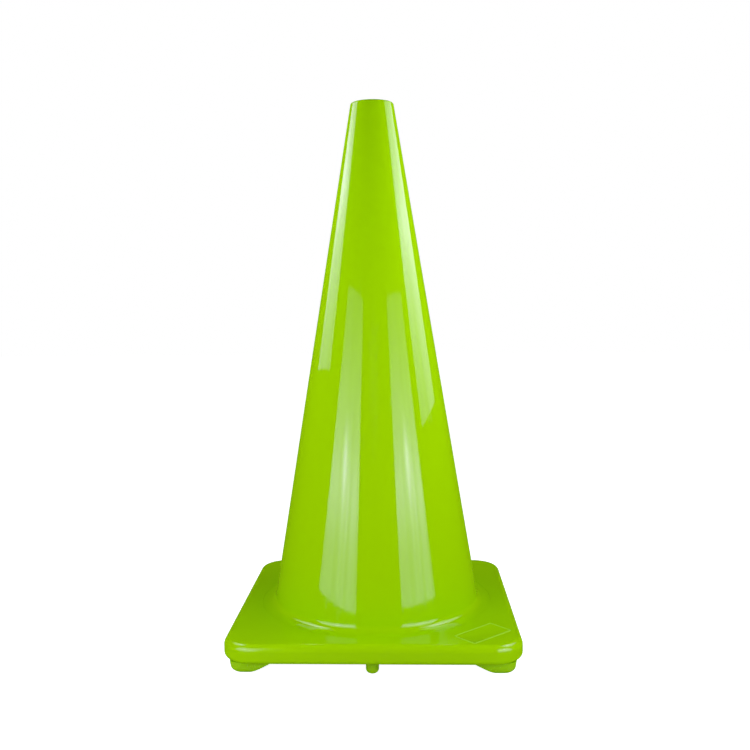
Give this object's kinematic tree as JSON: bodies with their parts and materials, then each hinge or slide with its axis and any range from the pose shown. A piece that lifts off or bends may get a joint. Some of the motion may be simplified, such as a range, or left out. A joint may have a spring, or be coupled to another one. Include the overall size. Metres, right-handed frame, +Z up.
{
  "type": "traffic cone",
  "caption": "Glossy lime traffic cone: a hollow tapered PVC sleeve with an open top, flared into a heavy square base that stands on corner feet and edge pegs.",
  "frame": {"origin": "on the floor, under the cone's axis, at the centre of the square base", "axes": "+Z up along the cone's axis, -Y the front edge, +X to the right seen from the front; the name panel is on the +X -Y corner"},
  "size_m": [0.368, 0.368, 0.711],
  "materials": {
    "lime_pvc": "glossy, soft and slightly wavy cast PVC",
    "recycled_pvc": "matt, slightly grainy recycled PVC"
  },
  "bodies": {
    "root": {"cone_sleeve": "lime_pvc", "base_cover": "lime_pvc", "name_panel": "lime_pvc", "front_left_foot": "lime_pvc", "front_right_foot": "lime_pvc", "rear_left_foot": "lime_pvc", "rear_right_foot": "lime_pvc", "front_peg": "lime_pvc", "rear_peg": "lime_pvc", "left_peg": "lime_pvc", "right_peg": "lime_pvc", "ballast_slab": "recycled_pvc"}
  },
  "joints": []
}
